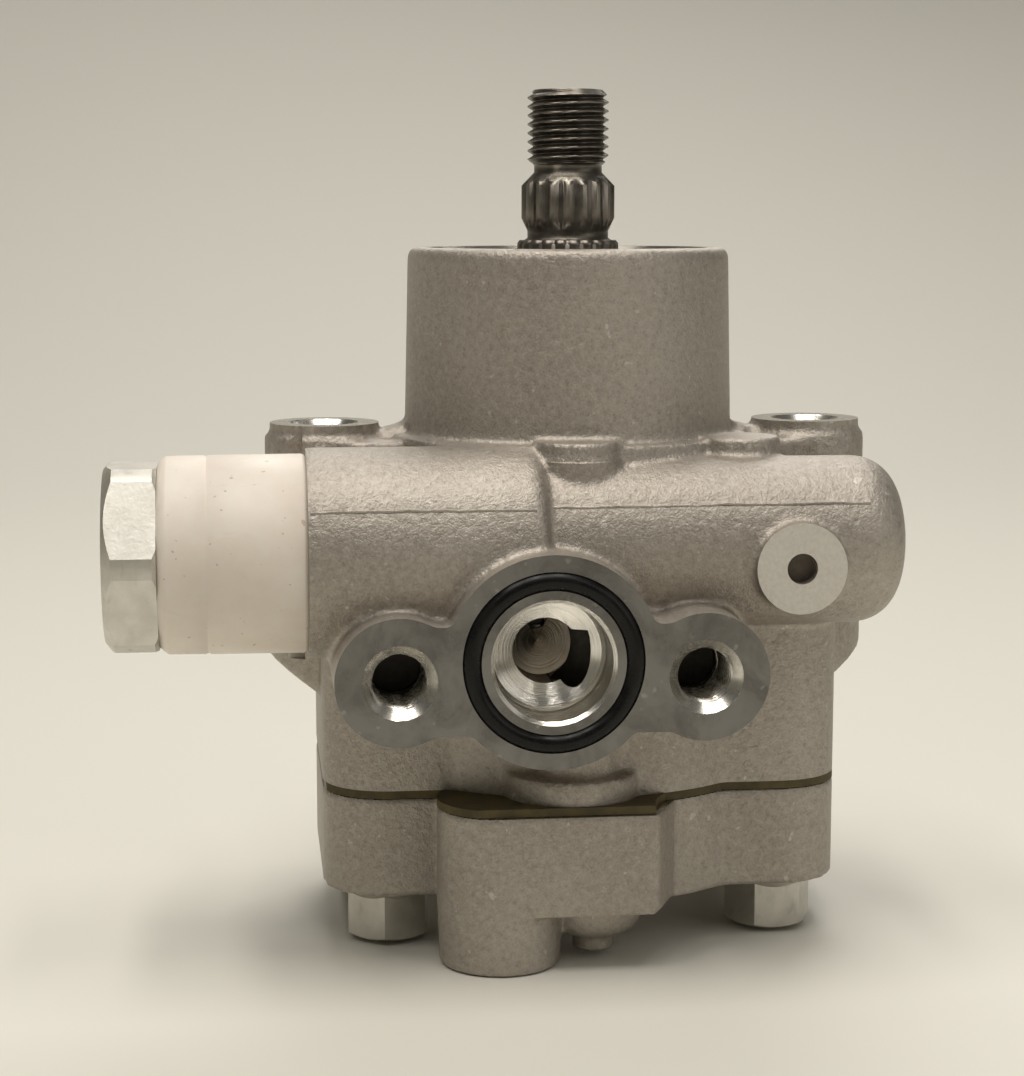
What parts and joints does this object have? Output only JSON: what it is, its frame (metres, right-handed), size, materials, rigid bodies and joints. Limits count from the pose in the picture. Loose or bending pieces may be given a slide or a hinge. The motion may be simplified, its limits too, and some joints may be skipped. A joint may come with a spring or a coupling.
{
  "type": "power steering pump",
  "caption": "Die-cast vane pump with an upright threaded drive shaft, a cross valve barrel, a flanged inlet port and a bolted rear cover, for hydraulic steering.",
  "frame": {"origin": "on the shaft axis, in the plane of the two machined mounting ear faces", "axes": "+Z along the shaft towards its threaded end, -Y out of the inlet flange, +X along the valve barrel towards its domed end"},
  "size_m": [0.1317, 0.0842, 0.1436],
  "materials": {
    "cast_body": "die-cast",
    "cast_cover": "die-cast",
    "gasket": "matt",
    "zinc_bolts": "zinc plated",
    "shaft_steel": "oiled",
    "bearing_steel": "ground",
    "bronze": "satin",
    "shield_steel": "satin",
    "spring_steel": "oiled",
    "rubber": "matt",
    "cartridge_steel": "ground",
    "white_plastic": "satin",
    "zinc_union": "zinc plated"
  },
  "bodies": {
    "housing": {"pump_body": "cast_body", "rear_cover": "cast_cover", "cover_gasket": "gasket", "cover_bolts": "zinc_bolts", "bearing_outer_ring": "bearing_steel", "bearing_shields": "shield_steel", "bearing_snap_ring": "spring_steel", "shaft_seal": "rubber", "shaft_bush": "bronze", "pressure_plate": "cartridge_steel", "plate_seal_ring": "rubber", "cam_ring": "cartridge_steel", "dowel_pins": "cartridge_steel", "inlet_o_ring": "rubber", "outlet_connector": "cartridge_steel", "connector_o_ring": "rubber", "spacer_sleeve": "white_plastic", "union_bolt": "zinc_union", "gallery_plug": "shield_steel", "spool_spring": "spring_steel"},
    "shaft": {"drive_shaft": "shaft_steel", "bearing_inner_ring": "bearing_steel", "rotor": "cartridge_steel", "rotor_snap_ring": "spring_steel"},
    "ball_set": {"bearing_balls": "bearing_steel", "bearing_cage": "bronze"},
    "spool": {"control_spool": "cartridge_steel"},
    "vane_1": {"vane_1": "cartridge_steel"},
    "vane_2": {"vane_2": "cartridge_steel"},
    "vane_3": {"vane_3": "cartridge_steel"},
    "vane_4": {"vane_4": "cartridge_steel"},
    "vane_5": {"vane_5": "cartridge_steel"},
    "vane_6": {"vane_6": "cartridge_steel"},
    "vane_7": {"vane_7": "cartridge_steel"},
    "vane_8": {"vane_8": "cartridge_steel"},
    "vane_9": {"vane_9": "cartridge_steel"},
    "vane_10": {"vane_10": "cartridge_steel"}
  },
  "joints": [
    {"name": "shaft_spin", "type": "hinge", "parent": "housing", "child": "shaft", "pos_m": [0, 0, 0], "axis": [0, 0, 1], "continuous": true},
    {"name": "ball_set_spin", "type": "hinge", "parent": "housing", "child": "ball_set", "pos_m": [0, 0, 0.019], "axis": [0, 0, 1], "continuous": true},
    {"name": "spool_slide", "type": "slide", "parent": "housing", "child": "spool", "axis": [1, 0, 0], "range_m": [0, 0.008], "stiffness_N_per_m": 2500, "springref_m": -0.004, "deforming": ["spool_spring"]},
    {"name": "vane_1_slide", "type": "slide", "parent": "shaft", "child": "vane_1", "axis": [0.9511, 0.309, 0], "range_m": [-0.001, 0]},
    {"name": "vane_2_slide", "type": "slide", "parent": "shaft", "child": "vane_2", "axis": [0.5878, 0.809, 0], "range_m": [-0.001, 0]},
    {"name": "vane_3_slide", "type": "slide", "parent": "shaft", "child": "vane_3", "axis": [0, 1, 0], "range_m": [-0.001, 0]},
    {"name": "vane_4_slide", "type": "slide", "parent": "shaft", "child": "vane_4", "axis": [-0.5878, 0.809, 0], "range_m": [-0.001, 0]},
    {"name": "vane_5_slide", "type": "slide", "parent": "shaft", "child": "vane_5", "axis": [-0.9511, 0.309, 0], "range_m": [-0.001, 0]},
    {"name": "vane_6_slide", "type": "slide", "parent": "shaft", "child": "vane_6", "axis": [-0.9511, -0.309, 0], "range_m": [-0.001, 0]},
    {"name": "vane_7_slide", "type": "slide", "parent": "shaft", "child": "vane_7", "axis": [-0.5878, -0.809, 0], "range_m": [-0.001, 0]},
    {"name": "vane_8_slide", "type": "slide", "parent": "shaft", "child": "vane_8", "axis": [0, -1, 0], "range_m": [-0.001, 0]},
    {"name": "vane_9_slide", "type": "slide", "parent": "shaft", "child": "vane_9", "axis": [0.5878, -0.809, 0], "range_m": [-0.001, 0]},
    {"name": "vane_10_slide", "type": "slide", "parent": "shaft", "child": "vane_10", "axis": [0.9511, -0.309, 0], "range_m": [-0.001, 0]}
  ],
  "couplings": [
    {"joint": "ball_set_spin", "follows": "shaft_spin", "ratio": 0.37}
  ]
}
